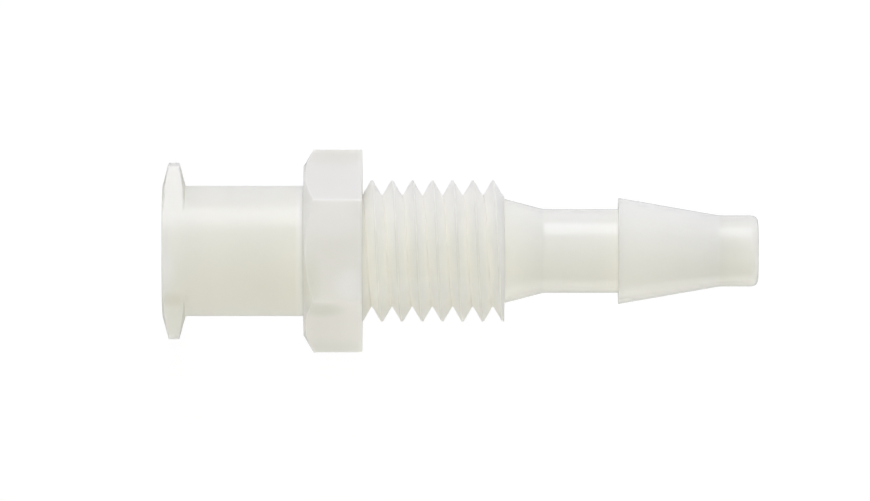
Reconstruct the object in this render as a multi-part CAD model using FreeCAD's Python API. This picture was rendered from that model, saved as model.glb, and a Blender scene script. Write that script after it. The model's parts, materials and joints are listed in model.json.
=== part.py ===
import FreeCAD
import Part
import math
import os

# Bulkhead luer fitting, moulded in one piece of natural polypropylene. Millimetres and degrees.
# +X runs along the flow axis from the luer mouth to the hose nose, +Y through a luer lug and a
# corner of the hexagon, +Z square to one flat. The origin is on the axis, on the face of the
# hexagon that seats on the panel.

# Luer barrel and its socket, a 6 percent taper
barrel_length = 6.35
barrel_diameter = 5.86
socket_mouth_diameter = 4.3
socket_taper = 0.06
socket_depth = 7.9
socket_lead_in = 0.2
socket_floor_angle = 30.0

# Two luer lugs on the mouth
lug_count = 2
lug_diameter = 7.95
lug_tip_thickness = 0.475
lug_bevel_angle = 15.0
lug_side_angle = 30.0
lug_side_bite = 0.02

# Hexagon for a 5/16 inch spanner
hex_across_flats = 7.9375
hex_width = 2.64
hex_face_inset = 0.165
hex_chamfer_angle = 30.0
hex_corner_radius = 0.12

# Panel thread, 1/4-28 UNF, right-handed, sharp as moulded
thread_diameter = 6.35
thread_pitch = 25.4 / 28
thread_length = 6.38
thread_flank_angle = 30.0
thread_crest_flat = 0.08
thread_root_flat = 0.04
thread_groove_angle = 9.4

# Hose stem: taper under the thread, neck, barb and nose
shoulder_step = 0.15
taper_length = 1.75
neck_diameter = 3.77
neck_length = 3.38
barb_diameter = 4.78
barb_length = 4.55
nose_diameter = 3.2
nose_length = 1.75
nose_edge_radius = 0.36

# Passage from the socket through the stem
lumen_diameter = 2.3

# Share of the nose's wall that its rounded edge may take
edge_share_of_wall = 0.85
# Length that a cutting shape stands past what it cuts
overrun = 1.0


def tangent(degrees):
    return math.tan(math.radians(degrees))


barrel_radius = barrel_diameter / 2
lug_radius = lug_diameter / 2
lug_height = lug_radius - barrel_radius
thread_radius = thread_diameter / 2
flank_rise = (thread_pitch - thread_crest_flat - thread_root_flat) / 2
root_radius = thread_radius - flank_rise / tangent(thread_flank_angle)
hex_corner_reach = hex_across_flats / 2 / math.cos(math.radians(30))
lumen_radius = lumen_diameter / 2
nose_radius = nose_diameter / 2

# Stations along the axis
seat_x = 0.0
hex_back_x = seat_x - hex_width
mouth_x = hex_back_x - barrel_length
thread_end_x = seat_x + thread_length
neck_x = thread_end_x + taper_length
barb_x = neck_x + neck_length
nose_x = barb_x + barb_length
end_x = nose_x + nose_length


def turned(edges):
    """Solid of revolution about the X axis of a closed outline in the XY plane."""
    face = Part.Face(Part.Wire(edges))
    return face.revolve(FreeCAD.Vector(0, 0, 0), FreeCAD.Vector(1, 0, 0), 360)


def outline(stations):
    """Straight edges through (x, radius) stations, in order."""
    points = [FreeCAD.Vector(x, radius, 0) for x, radius in stations]
    return [Part.makeLine(a, b) for a, b in zip(points, points[1:])]


def turned_from_axis(stations):
    """Solid of revolution under a run of (x, radius) stations, closed along the axis."""
    closed = [(stations[0][0], 0.0)] + stations + [(stations[-1][0], 0.0), (stations[0][0], 0.0)]
    return turned(outline(closed))


def barrel():
    """Plain tube of the luer end, solid until the passage is cut."""
    return turned_from_axis([(mouth_x, barrel_radius), (hex_back_x, barrel_radius)])


def lug_blank():
    """The plan of one lug along X: two flat sides that bite a little into the barrel."""
    side_offset = barrel_radius - lug_side_bite
    reach = math.sqrt((lug_radius + overrun) ** 2 - side_offset ** 2)
    lean = math.radians(lug_side_angle)
    foot = (side_offset * math.sin(lean), side_offset * math.cos(lean))
    tip = (foot[0] + reach * math.cos(lean), foot[1] - reach * math.sin(lean))
    plan = [(0.0, 0.0), foot, tip, (tip[0], -tip[1]), (foot[0], -foot[1]), (0.0, 0.0)]
    wire = Part.makePolygon([FreeCAD.Vector(mouth_x - overrun, y, z) for y, z in plan])
    return Part.Face(wire).extrude(FreeCAD.Vector(barrel_length + overrun, 0, 0))


def luer_lugs():
    """The lugs: one bevelled ring round the mouth, kept only inside each lug's plan."""
    bevel_run = lug_height * tangent(lug_bevel_angle)
    tip_x = mouth_x + bevel_run
    ring = turned_from_axis([
        (mouth_x, barrel_radius),
        (tip_x, lug_radius),
        (tip_x + lug_tip_thickness, lug_radius),
        (tip_x + lug_tip_thickness + bevel_run, barrel_radius),
    ])
    lugs = []
    for index in range(lug_count):
        blank = lug_blank()
        blank.rotate(FreeCAD.Vector(0, 0, 0), FreeCAD.Vector(1, 0, 0), index * 360 / lug_count)
        lugs.append(ring.common(blank))
    return lugs


def hexagon():
    """Spanner hexagon with softened corners, chamfered on the luer side only."""
    angles = [math.radians(60 * index) for index in range(7)]
    corners = [
        FreeCAD.Vector(hex_back_x, hex_corner_reach * math.cos(a), hex_corner_reach * math.sin(a))
        for a in angles
    ]
    prism = Part.Face(Part.makePolygon(corners)).extrude(FreeCAD.Vector(hex_width, 0, 0))
    long_edges = [edge for edge in prism.Edges if abs(edge.Length - hex_width) < 1e-6]
    prism = prism.makeFillet(hex_corner_radius, long_edges)
    face_radius = hex_across_flats / 2 - hex_face_inset
    rim_radius = hex_corner_reach + overrun
    rim_x = hex_back_x + (rim_radius - face_radius) * tangent(hex_chamfer_angle)
    chamfer = turned_from_axis([
        (hex_back_x, face_radius),
        (rim_x, rim_radius),
        (seat_x + overrun, rim_radius),
    ])
    return prism.common(chamfer)


def thread_groove():
    """The V between two crests, carried along a helix that runs past both ends of the thread."""
    lead = thread_pitch
    helix = Part.makeLongHelix(lead, thread_length + 2 * lead, root_radius, 0, False)
    # the flanks run on past the crest, half of the way to the next turn
    rise = thread_crest_flat / 4 / tangent(thread_flank_angle)
    top_radius = thread_radius + rise
    top_half = thread_root_flat / 2 + (top_radius - root_radius) * tangent(thread_flank_angle)
    section = Part.makePolygon([
        FreeCAD.Vector(root_radius, 0, -thread_root_flat / 2),
        FreeCAD.Vector(top_radius, 0, -top_half),
        FreeCAD.Vector(top_radius, 0, top_half),
        FreeCAD.Vector(root_radius, 0, thread_root_flat / 2),
        FreeCAD.Vector(root_radius, 0, -thread_root_flat / 2),
    ])
    groove = Part.Wire(helix.Edges).makePipeShell([section], True, True)
    # turn the helix's own Z axis to X and its X to Y, then set where the groove leaves the seat
    groove.rotate(FreeCAD.Vector(0, 0, 0), FreeCAD.Vector(1, 1, 1), 120)
    groove.rotate(FreeCAD.Vector(0, 0, 0), FreeCAD.Vector(1, 0, 0), thread_groove_angle)
    groove.translate(FreeCAD.Vector(seat_x - lead, 0, 0))
    return groove


def threaded_shank():
    """Threaded shank that passes through the panel."""
    blank = turned_from_axis([(seat_x, thread_radius), (thread_end_x, thread_radius)])
    return blank.cut(thread_groove())


def hose_stem():
    """Taper, neck, barb and rounded nose for the hose."""
    neck_radius = neck_diameter / 2
    barb_radius = barb_diameter / 2
    edge_radius = min(nose_edge_radius, edge_share_of_wall * (nose_radius - lumen_radius))
    bend = edge_radius * (1 - math.sqrt(0.5))
    nose_edge = Part.Arc(
        FreeCAD.Vector(end_x - edge_radius, nose_radius, 0),
        FreeCAD.Vector(end_x - bend, nose_radius - bend, 0),
        FreeCAD.Vector(end_x, nose_radius - edge_radius, 0),
    ).toShape()
    side = outline([
        (seat_x, 0.0),
        (seat_x, root_radius - shoulder_step),
        (thread_end_x, root_radius - shoulder_step),
        (neck_x, neck_radius),
        (barb_x, neck_radius),
        (barb_x, barb_radius),
        (nose_x, nose_radius),
        (end_x - edge_radius, nose_radius),
    ])
    end = outline([(end_x, nose_radius - edge_radius), (end_x, 0.0), (seat_x, 0.0)])
    return turned(side + [nose_edge] + end)


def flow_passage():
    """Everything that is hollow: luer socket, its sloped floor and the bore through the nose."""
    mouth_radius = socket_mouth_diameter / 2
    floor_radius = mouth_radius - socket_depth * socket_taper / 2
    floor_x = mouth_x + socket_depth
    lead_in_rim = mouth_radius + socket_lead_in + overrun
    lumen_x = floor_x + (floor_radius - lumen_radius) * tangent(socket_floor_angle)
    socket = turned_from_axis([
        (mouth_x, mouth_radius),
        (floor_x, floor_radius),
        (lumen_x, lumen_radius),
        (end_x + overrun, lumen_radius),
    ])
    # a 45 degree cone that opens the mouth and ends well inside the socket
    lead_in = turned_from_axis([
        (mouth_x - overrun, lead_in_rim),
        (mouth_x - overrun + lead_in_rim - lumen_radius, lumen_radius),
    ])
    return socket.fuse(lead_in)


def fitting():
    """The whole moulding as one solid."""
    pieces = luer_lugs() + [hexagon(), threaded_shank(), hose_stem()]
    return barrel().fuse(pieces).cut(flow_passage()).removeSplitter()


os.makedirs("parts", exist_ok=True)
moulding = fitting()
moulding.exportStep("parts/luer_fitting_body.step")
print("solids", len(moulding.Solids), "valid", moulding.isValid())
print("volume", round(moulding.Volume, 2), "mm3, centre x", round(moulding.Solids[0].CenterOfGravity.x, 3))
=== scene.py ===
import bmesh
import bpy
import json
import math
import numpy as np
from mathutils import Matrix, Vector


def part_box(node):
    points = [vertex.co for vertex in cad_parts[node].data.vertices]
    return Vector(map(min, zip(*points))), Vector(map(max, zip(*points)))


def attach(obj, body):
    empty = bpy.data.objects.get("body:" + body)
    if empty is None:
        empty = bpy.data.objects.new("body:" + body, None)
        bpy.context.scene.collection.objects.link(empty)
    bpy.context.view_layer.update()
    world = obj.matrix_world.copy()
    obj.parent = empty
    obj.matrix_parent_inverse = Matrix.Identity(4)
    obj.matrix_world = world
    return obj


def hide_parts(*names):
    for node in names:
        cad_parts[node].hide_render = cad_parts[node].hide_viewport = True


# Bulkhead luer fitting of natural polypropylene, one moulding. Lengths are in metres. Angles are in
# degrees in the dictionaries and in radians in the arrays of columns. +X is the flow axis from the
# luer mouth to the hose nose, and angles round it start at +Y and turn towards +Z.
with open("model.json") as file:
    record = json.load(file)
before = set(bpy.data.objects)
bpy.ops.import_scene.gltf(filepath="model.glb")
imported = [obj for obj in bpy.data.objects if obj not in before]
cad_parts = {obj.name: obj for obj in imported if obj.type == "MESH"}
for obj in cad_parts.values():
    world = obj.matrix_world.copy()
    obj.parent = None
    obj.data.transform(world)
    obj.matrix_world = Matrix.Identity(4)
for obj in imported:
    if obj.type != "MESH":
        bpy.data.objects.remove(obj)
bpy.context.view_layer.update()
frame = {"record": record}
low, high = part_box("luer_fitting_body")
mounts = {mount["name"]: mount for mount in frame["record"]["mounts"]}
millimetresPerMetre = 1000


# a size that the record states in millimetres for one of the fitting's interfaces, in metres
def sizeOf(mountName, key):
    return mounts[mountName]["dims"][key] / millimetresPerMetre


# tangent of an angle in degrees
def tangent(degrees):
    return math.tan(math.radians(degrees))


# Smooth minimum. The share of a goes from 0 to 1 while b less a goes from -k to k, and the result is
# the two mixed by that share, less k times the share times its rest.
def softMin(a, b, k):
    share = np.clip(0.5 + 0.5 * (b - a) / k, 0, 1)
    return b + (a - b) * share - k * share * (1 - share)


moulded = {
    "columnStep": 1.5,          # degrees between plain columns of the surface
    "columnDecimals": 3,        # decimals of a degree that tell two columns apart
    "hold": 0.00002,            # flat held beside each soft edge
    "cutShare": 0.9,            # how much of its room a soft edge may take
    "holdShare": 0.95,          # and how much together with the flat held beside it
    "weld": 0.00000004,         # points nearer than this are one
    "sharpAngle": 38.0,         # folds above this stay crisp in the shading
}


# corners of an outline as arrays of x and radius, one value of each for every column
def stations(angle, *pairs):
    def column(value):
        return np.broadcast_to(np.asarray(value, float), angle.shape)

    return [np.array([column(x), column(radius)]) for x, radius in pairs]


# A run of corners with soft edges. Each inner corner becomes the quadratic curve between the points
# one cut before and one cut after it, and one more point outside each end holds the flat there.
# Two cuts that would meet on a short stretch share it in proportion to their sizes.
def softRun(corners, cuts, steps):
    rows = [corners[0]]
    cuts = [0.0] + list(cuts) + [0.0]
    for i in range(1, len(corners) - 1):
        before, after = corners[i - 1] - corners[i], corners[i + 1] - corners[i]
        lengthBefore, lengthAfter = np.linalg.norm(before, axis=0), np.linalg.norm(after, axis=0)
        roomBefore = lengthBefore * cuts[i] / (cuts[i] + cuts[i - 1])
        roomAfter = lengthAfter * cuts[i] / (cuts[i] + cuts[i + 1])
        room = np.minimum(roomBefore, roomAfter)
        cut = np.minimum(cuts[i], moulded["cutShare"] * room)
        hold = np.minimum(cut + moulded["hold"], moulded["holdShare"] * room)
        before, after = before / lengthBefore, after / lengthAfter
        rows.append(corners[i] + before * hold)
        for s in np.linspace(0, 1, steps + 1):
            rows.append(corners[i] + before * cut * (1 - s) ** 2 + after * cut * s ** 2)
        rows.append(corners[i] + after * hold)
    return rows + [corners[-1]]


hexFlange = {
    "width": 0.00264,
    "faceInset": 0.000165,      # the chamfer's circle lies this far inside the flats
    "chamfer": 30.0,
    "cornerRadius": 0.00012,
    "footBlend": 0.00004,       # lengths cut back at the soft edges
    "edge": 0.00001,
    "edgeColumns": (0.25, 0.5, 0.75, 1.1),      # degrees from a corner where columns stand closer
}


# Distance from the axis to a hexagon with round corners: a flat is its own distance over the cosine
# of the angle from its middle, and a corner is a circle that sits back along the diagonal.
def hexRadius(angle):
    flat, corner = high[2], hexFlange["cornerRadius"]
    fromCorner = (angle + math.pi / 6) % (math.pi / 3) - math.pi / 6
    fromFlat = math.pi / 6 - np.abs(fromCorner)
    centre = (flat - corner) / math.cos(math.pi / 6)
    roundEnds = math.pi / 6 - math.atan(centre / 2 / flat)
    root = np.sqrt(np.maximum(corner ** 2 - (centre * np.sin(fromCorner)) ** 2, 0))
    onCorner, onFlat = centre * np.cos(fromCorner) + root, flat / np.cos(fromFlat)
    return np.where(np.abs(fromCorner) < roundEnds, onCorner, onFlat)


luerEnd = {
    "barrelRadius": 0.00293,
    "taper": 0.06,              # loss of diameter over the length of the socket
    "leadIn": 0.0002,
    "floorAngle": 30.0,
    "lugTip": 0.000475,         # thickness of a lug at its tip
    "lugBevel": 15.0,
    "lugSideAngle": 30.0,       # each flat side leans this far in from the lug's own direction
    "lugSideBite": 0.00002,     # and cuts this deep under the barrel's surface
    "lugTipBlend": 0.00004,
    "minimumRise": 0.0001,      # spread along X of a lug's corners where no lug stands
    "socketEdges": (0.0001, 0.00005, 0.00005),  # lengths cut back at the soft edges
    "mouthEdge": 0.00009,
    "lugEdge": 0.00003,
    "edgeSteps": 3,             # stretches of the curve at each soft edge
    "edgeColumns": (0.2, 0.6),  # degrees from a lug's edges where columns stand closer
}


# How far a lug stands over the barrel. Its side is a flat at a fixed distance from the axis, so its
# radius is that distance over the cosine of the angle from the flat's normal; its tip is an arc.
def lugHeight(angle):
    fromLug = np.abs((angle + math.pi / 2) % math.pi - math.pi / 2)
    normal = math.radians(90 - luerEnd["lugSideAngle"])
    offset = luerEnd["barrelRadius"] - luerEnd["lugSideBite"]
    side = np.where(fromLug < normal, offset / np.cos(normal - np.minimum(fromLug, normal)), 0)
    tip = np.full_like(side, sizeOf("luer_lugs", "r_mm"))
    return np.maximum(softMin(side, tip, luerEnd["lugTipBlend"]) - luerEnd["barrelRadius"], 0)


# Where the socket narrows to the lumen: its taper gives the radius at its floor, and the floor's
# cone runs on from there until it meets the lumen.
def socketFloor():
    depth, lumen = sizeOf("luer_socket", "length_mm"), sizeOf("flow_bore", "r_mm")
    radius = sizeOf("luer_socket", "r_mm") - depth * luerEnd["taper"] / 2
    x = low[0] + depth
    return {"x": x, "radius": radius, "lumenX": x + (radius - lumen) * tangent(luerEnd["floorAngle"])}


# From the socket's floor out of the mouth, over a lug or the plain barrel, over the hexagon and down
# its panel face to the thread. A lug's bevel runs along X by its height times the tangent of its angle,
# and the chamfer by its depth times the tangent of its own. Where no lug stands, its corners lie
# spread on the barrel.
def luerAndHex(angle, seatRadius):
    floor, mouth, barrel = socketFloor(), low[0], luerEnd["barrelRadius"]
    socket = sizeOf("luer_socket", "r_mm")
    height = lugHeight(angle)
    rise = np.maximum(height * tangent(luerEnd["lugBevel"]), luerEnd["minimumRise"])
    fullHeight = sizeOf("luer_lugs", "r_mm") - barrel
    lugRoot = mouth + luerEnd["lugTip"] + 2 * fullHeight * tangent(luerEnd["lugBevel"])
    corner = hexRadius(angle)
    face = high[2] - hexFlange["faceInset"]
    back = -hexFlange["width"]
    chamferX = back + (corner - face) * tangent(hexFlange["chamfer"])
    leadX = mouth + luerEnd["leadIn"]
    corners = stations(
        angle,
        (floor["lumenX"], sizeOf("flow_bore", "r_mm")),
        (floor["x"], floor["radius"]),
        (leadX, socket - luerEnd["leadIn"] * luerEnd["taper"] / 2),
        (mouth, socket + luerEnd["leadIn"]),
        (mouth, barrel),
        (mouth + rise, barrel + height),
        (lugRoot - rise, barrel + height),
        (lugRoot, barrel),
        (back, barrel),
        (back, face),
        (chamferX, corner),
        (0, corner),
        (0, seatRadius),
    )
    cuts = list(luerEnd["socketEdges"]) + [luerEnd["mouthEdge"]] + [luerEnd["lugEdge"]] * 3
    cuts += [hexFlange["footBlend"]] + [hexFlange["edge"]] * 3
    return softRun(corners, cuts, luerEnd["edgeSteps"])


panelThread = {
    "pitch": 0.0254 / 28,
    "crestFlat": 0.00008,
    "rootFlat": 0.00004,
    "flank": 30.0,
    "crestTurn": 0.474,         # turns from the seat to the first crest on +Y
    "softness": 0.00001,        # how far crest and root are rounded
    "spareTurns": 2,            # turns past both ends, held at the end planes
}


# Depth of the thread's V from crest to root: half of what the flats leave of the pitch, over the
# tangent of the flank.
def threadDepth():
    t = panelThread
    return (t["pitch"] - t["rootFlat"] - t["crestFlat"]) / 2 / tangent(t["flank"])


# Radius of the thread at a place on it: level on the crest's flat, then down the flank's slope with
# the distance along the axis from the nearest crest, and level again on the root's flat.
def threadRadius(x, angle):
    t = panelThread
    turn = x / t["pitch"] - angle / (2 * math.pi) - t["crestTurn"]
    away = t["pitch"] * np.abs((turn + 0.5) % 1 - 0.5)
    crest = np.full_like(away, sizeOf("panel_thread", "r_mm"))
    flank = crest - (away - t["crestFlat"] / 2) / tangent(t["flank"])
    root = crest - threadDepth()
    return -softMin(-softMin(crest, flank, t["softness"]), -root, t["softness"])


# The thread's turns. Each row keeps one phase of the thread, so it runs along the helix: its x is the
# pitch times the sum of its turn, the angle's share of a turn and the turn of the first crest. Rows lie
# on the middle of crest and root, close round their edges and halfway down the flank. They stop at the
# end planes, where they fold onto the thread's own section.
def threadRows(angle):
    t = panelThread
    length = sizeOf("panel_thread", "length_mm")
    crest, root = t["crestFlat"] / 2 / t["pitch"], 0.5 - t["rootFlat"] / 2 / t["pitch"]
    soft = t["softness"] / t["pitch"]
    up = [crest - soft, crest, crest + 2 * soft, (crest + root) / 2, root - 2 * soft, root, root + soft]
    phases = np.array([-phase for phase in up[::-1]] + [0] + up + [0.5])
    whole = np.arange(-t["spareTurns"], math.ceil(length / t["pitch"]))
    rows = []
    for turn in np.sort((whole[:, None] + phases).ravel()):
        x = np.clip(t["pitch"] * (turn + angle / (2 * math.pi) + t["crestTurn"]), 0, length)
        rows.append(np.array([x, threadRadius(x, angle)]))
    return rows


hoseStem = {
    "shoulderStep": 0.00015,    # from the thread's root down to the taper
    "taperLength": 0.00175,
    "neckRadius": 0.001885,
    "endEdge": 0.00004,         # lengths cut back at the soft edges, in the order of the outline
    "blend": 0.00012,
    "barbFoot": 0.00004,
    "barbEdge": 0.000025,
    "noseEdge": 0.00036,
    "boreEdge": 0.00004,
    "edgeSteps": 4,             # stretches of the curve at each soft edge
}


# From the thread's end face over the taper, neck, barb and nose, and back through the bore: straight
# lines between stations, whose places along X are the frame's own but for the end of the taper.
def stemAndBore(angle, endRadius):
    s = hoseStem
    length = sizeOf("panel_thread", "length_mm")
    shoulder = sizeOf("panel_thread", "r_mm") - threadDepth() - s["shoulderStep"]
    barbX = mounts["hose_barb"]["pos_m"][0]
    barb, nose = sizeOf("hose_barb", "r_mm"), sizeOf("hose_nose", "r_mm")
    noseX = barbX + sizeOf("hose_barb", "length_mm")
    lumen = sizeOf("flow_bore", "r_mm")
    corners = stations(
        angle,
        (length, endRadius),
        (length, shoulder),
        (length + s["taperLength"], s["neckRadius"]),
        (barbX, s["neckRadius"]),
        (barbX, barb),
        (noseX, nose),
        (high[0], nose),
        (high[0], lumen),
        (socketFloor()["lumenX"], lumen),
    )
    cuts = [s["endEdge"], s["blend"], s["barbFoot"], s["barbEdge"]]
    cuts += [s["blend"], s["noseEdge"], s["boreEdge"]]
    return softRun(corners, cuts, s["edgeSteps"])


# Angles of the surface's columns: even steps round the axis, with more beside the hexagon's corners,
# the edge of each lug's tip and the line where its flat side dives into the barrel. A flat side meets
# a circle where the cosine of the angle from its normal is its distance over the circle's radius.
def columnAngles():
    offset = luerEnd["barrelRadius"] - luerEnd["lugSideBite"]
    normal = 90 - luerEnd["lugSideAngle"]
    tipEdge = normal - math.degrees(math.acos(offset / sizeOf("luer_lugs", "r_mm")))
    sideEnd = normal - math.degrees(math.acos(offset / luerEnd["barrelRadius"]))
    even = np.arange(0, 360, moulded["columnStep"])
    hexSteps = np.array(hexFlange["edgeColumns"])
    corners = (np.arange(0, 360, 60)[:, None] + np.concatenate([-hexSteps, hexSteps])).ravel()
    lugSteps = np.array(luerEnd["edgeColumns"])
    edges = np.array([-tipEdge, -sideEnd, tipEdge, sideEnd])
    lugEdges = np.concatenate([edges, edges + 180])
    lugs = (lugEdges[:, None] + np.concatenate([-lugSteps, [0], lugSteps])).ravel()
    inside = np.unique(np.round(np.concatenate([even, corners, lugs]) % 360, moulded["columnDecimals"]))
    return np.radians(np.append(inside, 360.0))


# Puts rows of x and radius, one value for each column's angle, into one mesh: y is the radius times
# the cosine of the angle, z times its sine. Doubles are merged and the faces turned outwards.
def gridMesh(name, rows, angle):
    x, radius = np.array(rows).transpose(1, 0, 2)
    points = np.stack([x, radius * np.cos(angle), radius * np.sin(angle)], axis=-1)
    count, width = x.shape
    first = (np.arange(count - 1)[:, None] * width + np.arange(width - 1)).ravel()
    quads = np.stack([first, first + width, first + width + 1, first + 1], axis=1)
    mesh = bpy.data.meshes.new(name)
    mesh.vertices.add(count * width)
    mesh.vertices.foreach_set("co", points.ravel())
    mesh.loops.add(quads.size)
    mesh.loops.foreach_set("vertex_index", quads.ravel())
    mesh.polygons.add(len(quads))
    mesh.polygons.foreach_set("loop_start", np.arange(len(quads)) * 4)
    mesh.update(calc_edges=True)
    work = bmesh.new()
    work.from_mesh(mesh)
    bmesh.ops.remove_doubles(work, verts=work.verts, dist=moulded["weld"])
    bmesh.ops.recalc_face_normals(work, faces=work.faces)
    work.to_mesh(mesh)
    work.free()
    mesh.polygons.foreach_set("use_smooth", np.ones(len(mesh.polygons), bool))
    mesh.set_sharp_from_angle(angle=math.radians(moulded["sharpAngle"]))
    return mesh


# The whole fitting as one closed surface, row by row from the socket's floor round to the bore.
def moulding():
    angle = columnAngles()
    seatRadius = threadRadius(np.zeros_like(angle), angle)
    endRadius = threadRadius(np.full_like(angle, sizeOf("panel_thread", "length_mm")), angle)
    rows = luerAndHex(angle, seatRadius) + threadRows(angle) + stemAndBore(angle, endRadius)
    piece = bpy.data.objects.new("fitting_moulding", gridMesh("fitting_moulding", rows, angle))
    bpy.context.collection.objects.link(piece)
    return piece


body = moulding()
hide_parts("luer_fitting_body")
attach(body, "root")
print("moulding made:", sum(len(face.vertices) - 2 for face in body.data.polygons), "triangles")


polypropylene = {
    "clear": (0.94, 0.935, 0.9, 1),         # base colour where the moulding is clearer
    "cloudy": (0.932, 0.926, 0.888, 1),     # and where it crystallised more
    "cloudSize": 0.0022,
    "cloudDetail": 3.0,
    "ior": 1.49,
    "translucency": 1.0,
    "scatterByColour": (1, 1, 1),           # red, green and blue light go equally deep
    # Stretches along X from the mouth to the nose: a tint on the base colour, how deep light scatters
    # and the roughness. The tint paints light and shade: lighter at the barrel's foot and in the first
    # groove, against the shade of the hexagon's step, and on the thin neck; darker on the collar and
    # the hexagon. The thread is the roughest and the hose stem the glossiest.
    "finish": {
        "collar": {"tint": (0.915, 0.92, 0.895, 1), "scatter": 0.0015, "roughness": 0.3},
        "barrel": {"tint": (0.993, 0.988, 0.935, 1), "scatter": 0.0015, "roughness": 0.3},
        "barrelFoot": {"tint": (1.04, 1.04, 1.01, 1), "scatter": 0.0008, "roughness": 0.3},
        "hexagon": {"tint": (0.932, 0.932, 0.938, 1), "scatter": 0.0008, "roughness": 0.22},
        "seat": {"tint": (0.98, 0.98, 0.97, 1), "scatter": 0.001, "roughness": 0.22},
        "firstGroove": {"tint": (1.01, 1.01, 0.99, 1), "scatter": 0.0008, "roughness": 0.5},
        "thread": {"tint": (1.03, 1.03, 1.0, 1), "scatter": 0.0012, "roughness": 0.5},
        "taper": {"tint": (0.995, 0.995, 0.965, 1), "scatter": 0.001, "roughness": 0.18},
        "neck": {"tint": (1.045, 1.045, 0.98, 1), "scatter": 0.0006, "roughness": 0.18},
        "barb": {"tint": (1.022, 1.022, 0.985, 1), "scatter": 0.001, "roughness": 0.18},
        "nose": {"tint": (0.99, 0.985, 0.94, 1), "scatter": 0.001, "roughness": 0.18},
    },
    "collarReach": 0.0018,                  # from the mouth to the middle of the collar's soft border
    "collarBorder": 0.002,
    "footReach": 0.0003,                    # lengths of the short stretches beside the hexagon's faces
    "seatReach": 0.00015,
    "grooveReach": 0.0004,
    "border": 0.0002,                       # length over which one stretch runs into the next
    "crestTint": (0.87, 0.87, 0.85, 1),     # painted shade on the thread's thin crests, which pass light and look darker
    "crestReach": 0.00006,                  # depth under the crest over which that tint fades
    "rootTint": (0.95, 0.945, 0.965, 1),    # painted shade in its roots, darker and less yellow
    "rootReach": 0.00008,                   # height over the root over which that tint fades
    "patchCore": 0.2,                       # share of a patch that has its full tint
    "bevelTint": (0.86, 0.86, 0.84, 1),     # painted shade on the faces of the collar that look along the axis
    "bevelFacing": (0.8, 0.94),             # share of the axis in their normal, from none to full tint
    "chamferTint": (1.05, 1.05, 1.05, 1),   # painted light on the hexagon's chamfer, which looks back to the luer end
    "chamferFacing": (-0.85, -0.3),         # share of the axis in its normal, from full tint to none
    # Patches of painted light and shade: painted glows where light passes through thin walls, painted
    # light and a painted highlight, and painted shade at the lug's root and on the hexagon. Middle,
    # half sizes and tint of each.
    "patches": {
        # painted glow in the thin wall by the mouth, where light comes in
        "mouth": {
            "at": (-0.00895, -0.0009, 0.0028), "size": (0.0008, 0.0015, 0.0019),
            "tint": (1.05, 1.05, 1.1, 1),
        },
        # painted shade at the root of the lower lug
        "smear": {
            "at": (-0.0085, -0.0022, 0.0021), "size": (0.0009, 0.0005, 0.0007),
            "tint": (0.92, 0.92, 0.9, 1),
        },
        # painted glow of light passed through the hexagon, on its lower side
        "gate": {
            "at": (-0.0005, -0.0015, 0.0039), "size": (0.0011, 0.001, 0.001),
            "tint": (1.045, 1.05, 1.08, 1),
        },
        # painted light on the upper half of the hexagon's middle flat
        "flat": {
            "at": (-0.0014, 0.0014, 0.0038), "size": (0.0021, 0.0013, 0.0013),
            "tint": (1.055, 1.055, 1.08, 1),
        },
        # painted shade at the hexagon's top corner
        "corner": {
            "at": (-0.0013, 0.0047, 0), "size": (0.004, 0.0013, 0.004),
            "tint": (0.93, 0.93, 0.9, 1),
        },
        # painted shade at the hexagon's bottom corner
        "opposite": {
            "at": (-0.0013, -0.0047, 0), "size": (0.004, 0.001, 0.004),
            "tint": (0.92, 0.935, 0.93, 1),
        },
        # painted shade on the hexagon's lower flat
        "shade": {
            "at": (-0.0018, -0.0027, 0.0034), "size": (0.0013, 0.0007, 0.0009),
            "tint": (0.885, 0.9, 0.88, 1),
        },
        # painted shade on the luer end of the hexagon's middle flat
        "side": {
            "at": (-0.0025, -0.0014, 0.0039), "size": (0.0009, 0.0018, 0.0012),
            "tint": (0.92, 0.93, 0.89, 1),
        },
        # painted highlight: a band of reflected light on the thread's lower side
        "streak": {
            "at": (0.0032, -0.0018, 0.0022), "size": (0.006, 0.001, 0.0016),
            "tint": (1.08, 1.085, 1.085, 1),
        },
    },
    "grainSize": 0.00014,
    "grainHeight": 0.000002,
    "ringSize": 0.00005,                    # rings that the cutter left in the thread's mould
    "ringLength": 0.002,
    "ringHeight": 0.000001,
    "fineDetail": 1.0,                      # octaves of the noise in grain and rings
}
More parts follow.
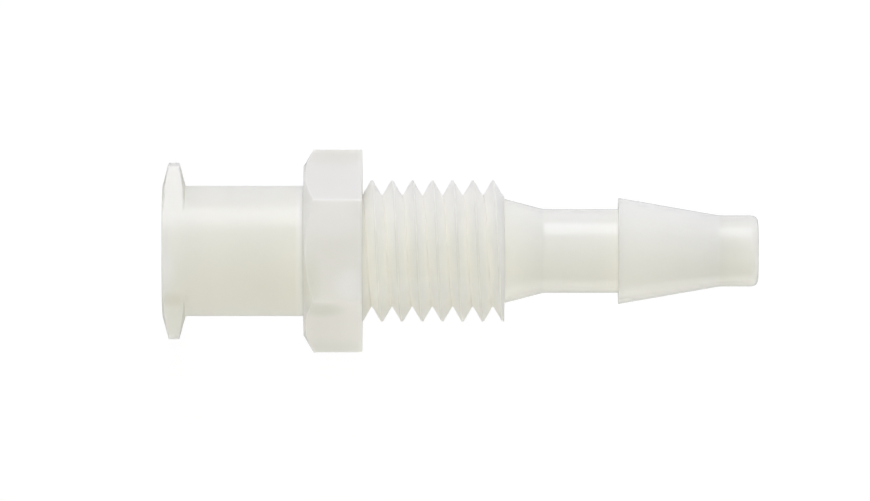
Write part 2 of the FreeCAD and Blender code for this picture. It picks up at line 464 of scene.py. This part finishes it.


# Natural polypropylene. Two shades mix by a soft noise, and the result is multiplied by the tint of
# its stretch, then by more tints where they apply; these tints paint light and shade. Near the
# thread's crest and root they go by the distance from the axis, which is the root of y squared plus
# z squared. On the collar's bevels and the hexagon's chamfer they go by the share of X in the normal,
# and in each patch by the length of the way from its middle over its half sizes. Tint, depth of
# scatter and roughness go from one stretch's value to the next at a step along X. Steps and ramps are
# eased: at a share t of the way they have gone 3 t squared less 2 t cubed. The bump is a fine grain
# everywhere plus rings on the thread, a noise squeezed along X.
def naturalPolypropylene():
    p = polypropylene
    material = bpy.data.materials.new("naturalPolypropylene")
    material.use_nodes = True
    nodes, links = material.node_tree.nodes, material.node_tree.links
    shader = nodes["Principled BSDF"]
    shader.inputs["IOR"].default_value = p["ior"]
    shader.inputs["Subsurface Weight"].default_value = p["translucency"]
    shader.inputs["Subsurface Radius"].default_value = p["scatterByColour"]
    place = nodes.new("ShaderNodeTexCoord")
    axes = nodes.new("ShaderNodeSeparateXYZ")
    links.new(place.outputs["Object"], axes.inputs["Vector"])

    def noise(size, detail):
        mapping = nodes.new("ShaderNodeMapping")
        mapping.inputs["Scale"].default_value = [1 / s for s in size]
        links.new(place.outputs["Object"], mapping.inputs["Vector"])
        pattern = nodes.new("ShaderNodeTexNoise")
        pattern.inputs["Scale"].default_value = 1.0     # neutral, as the mapping sets the size
        pattern.inputs["Detail"].default_value = detail
        links.new(mapping.outputs["Vector"], pattern.inputs["Vector"])
        return pattern.outputs["Fac"]

    def ease(socket, start, end, before, after):
        ramp = nodes.new("ShaderNodeMapRange")
        ramp.interpolation_type = "SMOOTHSTEP"
        ramp.inputs["From Min"].default_value = start
        ramp.inputs["From Max"].default_value = end
        ramp.inputs["To Min"].default_value = before
        ramp.inputs["To Max"].default_value = after
        links.new(socket, ramp.inputs["Value"])
        return ramp.outputs["Result"]

    def combine(operation, *values):
        sums = nodes.new("ShaderNodeMath")
        sums.operation = operation
        for socket, value in zip(sums.inputs, values):
            if isinstance(value, float):
                socket.default_value = value
            else:
                links.new(value, socket)
        return sums.outputs["Value"]

    def mixColours(blend, factor, a, b):
        mix = nodes.new("ShaderNodeMix")
        mix.data_type, mix.blend_type = "RGBA", blend
        for name, value in (("Factor", factor), ("A", a), ("B", b)):
            socket = [s for s in mix.inputs if s.name == name and s.enabled][0]
            if isinstance(value, (float, tuple)):
                socket.default_value = value
            else:
                links.new(value, socket)
        return [s for s in mix.outputs if s.enabled][0]

    hexBack, threadEnd = -hexFlange["width"], sizeOf("panel_thread", "length_mm")
    barb = mounts["hose_barb"]["pos_m"][0]
    borders = (
        hexBack - p["footReach"], hexBack, -p["seatReach"], 0.0, p["grooveReach"],
        threadEnd, threadEnd + hoseStem["taperLength"], barb, barb + sizeOf("hose_barb", "length_mm"),
    )

    def stepAt(border, width):
        return ease(axes.outputs["X"], border - width / 2, border + width / 2, 0.0, 1.0)

    steps = [stepAt(low[0] + p["collarReach"], p["collarBorder"])]
    steps += [stepAt(border, p["border"]) for border in borders]
    # for each stretch but the first, its step: 0 before the stretch starts and 1 past its start
    past = dict(zip(list(p["finish"])[1:], steps))

    def byStretch(key):
        values = [stretch[key] for stretch in p["finish"].values()]
        total = values[0]
        for step, before, after in zip(steps, values, values[1:]):
            total = combine("MULTIPLY_ADD", step, after - before, total)
        return total

    # the tint of each stretch: painted light and shade
    tints = [stretch["tint"] for stretch in p["finish"].values()]
    tint = tints[0]
    for step, following in zip(steps, tints[1:]):
        tint = mixColours("MIX", step, tint, following)
    onThread = combine("MULTIPLY", past["firstGroove"], combine("SUBTRACT", 1.0, past["taper"]))
    squares = [combine("MULTIPLY", axes.outputs[axis], axes.outputs[axis]) for axis in ("Y", "Z")]
    fromAxis = combine("SQRT", combine("ADD", *squares))
    crest = sizeOf("panel_thread", "r_mm")
    onCrest = combine("MULTIPLY", onThread, ease(fromAxis, crest - p["crestReach"], crest, 0.0, 1.0))
    root = crest - threadDepth()
    onRoot = combine("MULTIPLY", onThread, ease(fromAxis, root, root + p["rootReach"], 1.0, 0.0))
    colour = mixColours("MIX", noise([p["cloudSize"]] * 3, p["cloudDetail"]), p["clear"], p["cloudy"])
    colour = mixColours("MULTIPLY", 1.0, colour, tint)
    # painted shade on the thread's thin crests
    colour = mixColours("MULTIPLY", onCrest, colour, p["crestTint"])
    # painted shade in the thread's roots
    colour = mixColours("MULTIPLY", onRoot, colour, p["rootTint"])
    surface = nodes.new("ShaderNodeNewGeometry")
    facing = nodes.new("ShaderNodeSeparateXYZ")
    links.new(surface.outputs["Normal"], facing.inputs["Vector"])
    # painted shade on the collar's bevels, by the share of X in the normal
    alongAxis = ease(combine("ABSOLUTE", facing.outputs["X"]), *p["bevelFacing"], 0.0, 1.0)
    onBevel = combine("MULTIPLY", alongAxis, combine("SUBTRACT", 1.0, past["barrelFoot"]))
    colour = mixColours("MULTIPLY", onBevel, colour, p["bevelTint"])
    # painted light on the hexagon's chamfer
    toLuer = ease(facing.outputs["X"], *p["chamferFacing"], 1.0, 0.0)
    onChamfer = combine("MULTIPLY", toLuer, combine("SUBTRACT", past["hexagon"], past["seat"]))
    colour = mixColours("MULTIPLY", onChamfer, colour, p["chamferTint"])
    # patches of painted light and shade
    for patch in p["patches"].values():
        inside = nodes.new("ShaderNodeMapping")
        inside.vector_type = "TEXTURE"
        inside.inputs["Location"].default_value = patch["at"]
        inside.inputs["Scale"].default_value = patch["size"]
        links.new(place.outputs["Object"], inside.inputs["Vector"])
        away = nodes.new("ShaderNodeVectorMath")
        away.operation = "LENGTH"
        links.new(inside.outputs["Vector"], away.inputs[0])
        inPatch = ease(away.outputs["Value"], p["patchCore"], 1.0, 1.0, 0.0)
        colour = mixColours("MULTIPLY", inPatch, colour, patch["tint"])
    links.new(colour, shader.inputs["Base Color"])
    links.new(byStretch("scatter"), shader.inputs["Subsurface Scale"])
    links.new(byStretch("roughness"), shader.inputs["Roughness"])
    grain = combine("MULTIPLY", noise([p["grainSize"]] * 3, p["fineDetail"]), p["grainHeight"])
    ringNoise = noise([p["ringSize"], p["ringLength"], p["ringLength"]], p["fineDetail"])
    rings = combine("MULTIPLY", combine("MULTIPLY", ringNoise, p["ringHeight"]), onThread)
    bump = nodes.new("ShaderNodeBump")
    bump.inputs["Distance"].default_value = 1.0     # neutral, as the heights are in metres
    links.new(combine("ADD", grain, rings), bump.inputs["Height"])
    links.new(bump.outputs["Normal"], shader.inputs["Normal"])
    return material


body.data.materials.append(naturalPolypropylene())
print("material made")

studio = {
    "middle": 0.004,                # place along X that the lights face
    "reach": 0.4,                   # distance of a light from there
    "floorSide": 3.0,
    "floorShade": 0.95,
    "floorRoughness": 0.9,
    "floorGlow": (0.33, 0.33, 0.37),
    "floorMirrored": 0.5,           # radiance of the floor in the fitting's gloss
    "brightMirrored": 1.4,          # and of its brighter part, at the foot of the picture and right
    "brightAcross": (-0.004, 0.0),  # places along X and Y between which the one runs into the other
    "brightDown": (-0.004, -0.016),
    "floorWhitened": 0.9,           # share of pure white that the camera sees in the floor
    "roomLight": (0.1, 0.1, 0.1, 1),
    "roomMirrored": (0.2, 0.2, 0.2, 1),     # the room in the fitting's gloss
    "backdrop": (1, 1, 1, 1),       # the room as the camera sees it
}
# Soft boxes hang in a ring round the fitting's axis. An angle of 0 is straight above, where the camera
# is, 90 is the horizon at the top of the picture and -90 the one at its foot. Each has the degrees that
# it spreads over, its length along X, whether gloss sees it, and its radiance in each colour.
softBoxes = {
    "key": {"angle": 65, "spread": 36, "length": 0.2, "mirrored": True, "glow": (2.92, 2.92, 3.25)},
    "above": {"angle": 35, "spread": 30, "length": 0.05, "mirrored": False, "glow": (7.2, 6.95, 7.1)},
    "front": {"angle": 0, "spread": 40, "length": 0.05, "mirrored": False, "glow": (10.5, 10.5, 9.75)},
    "below": {"angle": -35, "spread": 30, "length": 0.05, "mirrored": False, "glow": (8.8, 8.75, 7.2)},
    "card": {"angle": -80, "spread": 20, "length": 0.05, "mirrored": False, "glow": (8.2, 7.5, 6.2)},
}
# square boxes past the two ends: which side of X, degrees over the horizon and size
endBoxes = {
    "hoseEnd": {"side": 1, "height": 17, "size": 0.25, "mirrored": False, "glow": (0.92, 0.93, 0.92)},
    "luerEnd": {"side": -1, "height": 17, "size": 0.25, "mirrored": False, "glow": (0.8, 0.78, 0.68)},
}


# Hangs an area light of so much radiance so that it faces the fitting's middle. Power is radiance
# times area times pi; the colour is the radiance over its strongest channel.
def hang(name, direction, length, width, box):
    strongest = max(box["glow"])
    lamp = bpy.data.lights.new(name, "AREA")
    lamp.shape = "RECTANGLE"
    lamp.size, lamp.size_y = length, width
    lamp.energy = strongest * length * width * math.pi
    lamp.color = [glow / strongest for glow in box["glow"]]
    piece = bpy.data.objects.new(name, lamp)
    piece.rotation_euler = Vector(direction).to_track_quat("Z", "Y").to_euler()
    piece.location = Vector((studio["middle"], 0, 0)) + Vector(direction) * studio["reach"]
    piece.visible_camera = False
    piece.visible_glossy = box["mirrored"]
    bpy.context.collection.objects.link(piece)


# Pale floor: a flat sheet under the fitting. Gloss sees a radiance in it that ramps down Y from the
# plain value to one that itself ramps along X from the plain to the bright value. The camera sees the
# sheet mixed with pure white.
def layFloor():
    half, level = studio["floorSide"] / 2, low[2]
    mesh = bpy.data.meshes.new("floor")
    corners = [(x, y, level) for x, y in ((-half, -half), (half, -half), (half, half), (-half, half))]
    mesh.from_pydata(corners, [], [(0, 1, 2, 3)])
    floor = bpy.data.objects.new("floor", mesh)
    bpy.context.collection.objects.link(floor)
    paper = bpy.data.materials.new("paleFloor")
    paper.use_nodes = True
    nodes, links = paper.node_tree.nodes, paper.node_tree.links
    shader = nodes["Principled BSDF"]
    shader.inputs["Base Color"].default_value = [studio["floorShade"]] * 3 + [1]
    shader.inputs["Roughness"].default_value = studio["floorRoughness"]
    shader.inputs["Emission Color"].default_value = [*studio["floorGlow"], 1]
    shader.inputs["Emission Strength"].default_value = 1.0      # neutral, as the glow is a radiance
    place = nodes.new("ShaderNodeTexCoord")
    axes = nodes.new("ShaderNodeSeparateXYZ")
    links.new(place.outputs["Object"], axes.inputs["Vector"])
    radiance = studio["brightMirrored"]
    for axis, ends in (("X", studio["brightAcross"]), ("Y", studio["brightDown"])):
        ramp = nodes.new("ShaderNodeMapRange")
        ramp.inputs["From Min"].default_value, ramp.inputs["From Max"].default_value = ends
        ramp.inputs["To Min"].default_value = studio["floorMirrored"]
        if isinstance(radiance, float):
            ramp.inputs["To Max"].default_value = radiance
        else:
            links.new(radiance, ramp.inputs["To Max"])
        links.new(axes.outputs[axis], ramp.inputs["Value"])
        radiance = ramp.outputs["Result"]
    mirrored, white = nodes.new("ShaderNodeEmission"), nodes.new("ShaderNodeEmission")
    links.new(radiance, mirrored.inputs["Strength"])
    seen = nodes.new("ShaderNodeLightPath")
    share = nodes.new("ShaderNodeMath")
    share.operation = "MULTIPLY"
    share.inputs[1].default_value = studio["floorWhitened"]
    links.new(seen.outputs["Is Camera Ray"], share.inputs[0])
    look = shader.outputs[0]
    for factor, other in ((seen.outputs["Is Glossy Ray"], mirrored), (share.outputs[0], white)):
        mix = nodes.new("ShaderNodeMixShader")
        links.new(factor, mix.inputs[0])
        links.new(look, mix.inputs[1])
        links.new(other.outputs[0], mix.inputs[2])
        look = mix.outputs[0]
    links.new(look, nodes["Material Output"].inputs["Surface"])
    mesh.materials.append(paper)


# Light of the room: one even colour. Gloss and the camera see others in its place.
def lightRoom():
    room = bpy.data.worlds.new("studio")
    room.use_nodes = True
    nodes, links = room.node_tree.nodes, room.node_tree.links
    seen = nodes.new("ShaderNodeLightPath")
    colour = studio["roomLight"]
    for share, other in (
        (seen.outputs["Is Glossy Ray"], studio["roomMirrored"]),
        (seen.outputs["Is Camera Ray"], studio["backdrop"]),
    ):
        mix = nodes.new("ShaderNodeMixRGB")
        links.new(share, mix.inputs["Fac"])
        if isinstance(colour, tuple):
            mix.inputs["Color1"].default_value = colour
        else:
            links.new(colour, mix.inputs["Color1"])
        mix.inputs["Color2"].default_value = other
        colour = mix.outputs["Color"]
    links.new(colour, nodes["Background"].inputs["Color"])
    bpy.context.scene.world = room


# A ring box lies where the sine of its angle points along Y and the cosine along Z, and it is twice the
# reach times the tangent of half its spread wide. An end box lies along X, raised by its degrees.
def hangLights():
    for name, box in softBoxes.items():
        turn = math.radians(box["angle"])
        width = 2 * studio["reach"] * tangent(box["spread"] / 2)
        hang(name, (0, math.sin(turn), math.cos(turn)), box["length"], width, box)
    for name, box in endBoxes.items():
        rise = math.radians(box["height"])
        direction = (box["side"] * math.cos(rise), 0, math.sin(rise))
        hang(name, direction, box["size"], box["size"], box)


lens = {
    "distance": 0.6,            # camera to the fitting's axis
    "viewWidth": 0.03915,       # width of the picture at the axis
    "centre": (0.003267, 0.00002),      # place along X and Y in the middle of the picture
    "sensor": 36.0,
    "nearest": 0.01,            # the camera shows nothing nearer or farther than these
    "farthest": 10,
}


# A long lens straight above the axis. Its focal length is the sensor's width times the distance, over
# the width of the view at the axis.
def camera():
    data = bpy.data.cameras.new("camera")
    data.sensor_width = lens["sensor"]
    data.lens = lens["sensor"] * lens["distance"] / lens["viewWidth"]
    data.clip_start, data.clip_end = lens["nearest"], lens["farthest"]
    piece = bpy.data.objects.new("camera", data)
    piece.location = (lens["centre"][0], lens["centre"][1], lens["distance"])
    bpy.context.collection.objects.link(piece)
    bpy.context.scene.camera = piece


layFloor()
lightRoom()
hangLights()
camera()
bpy.context.scene.view_settings.view_transform = "Standard"
print("studio and camera made")
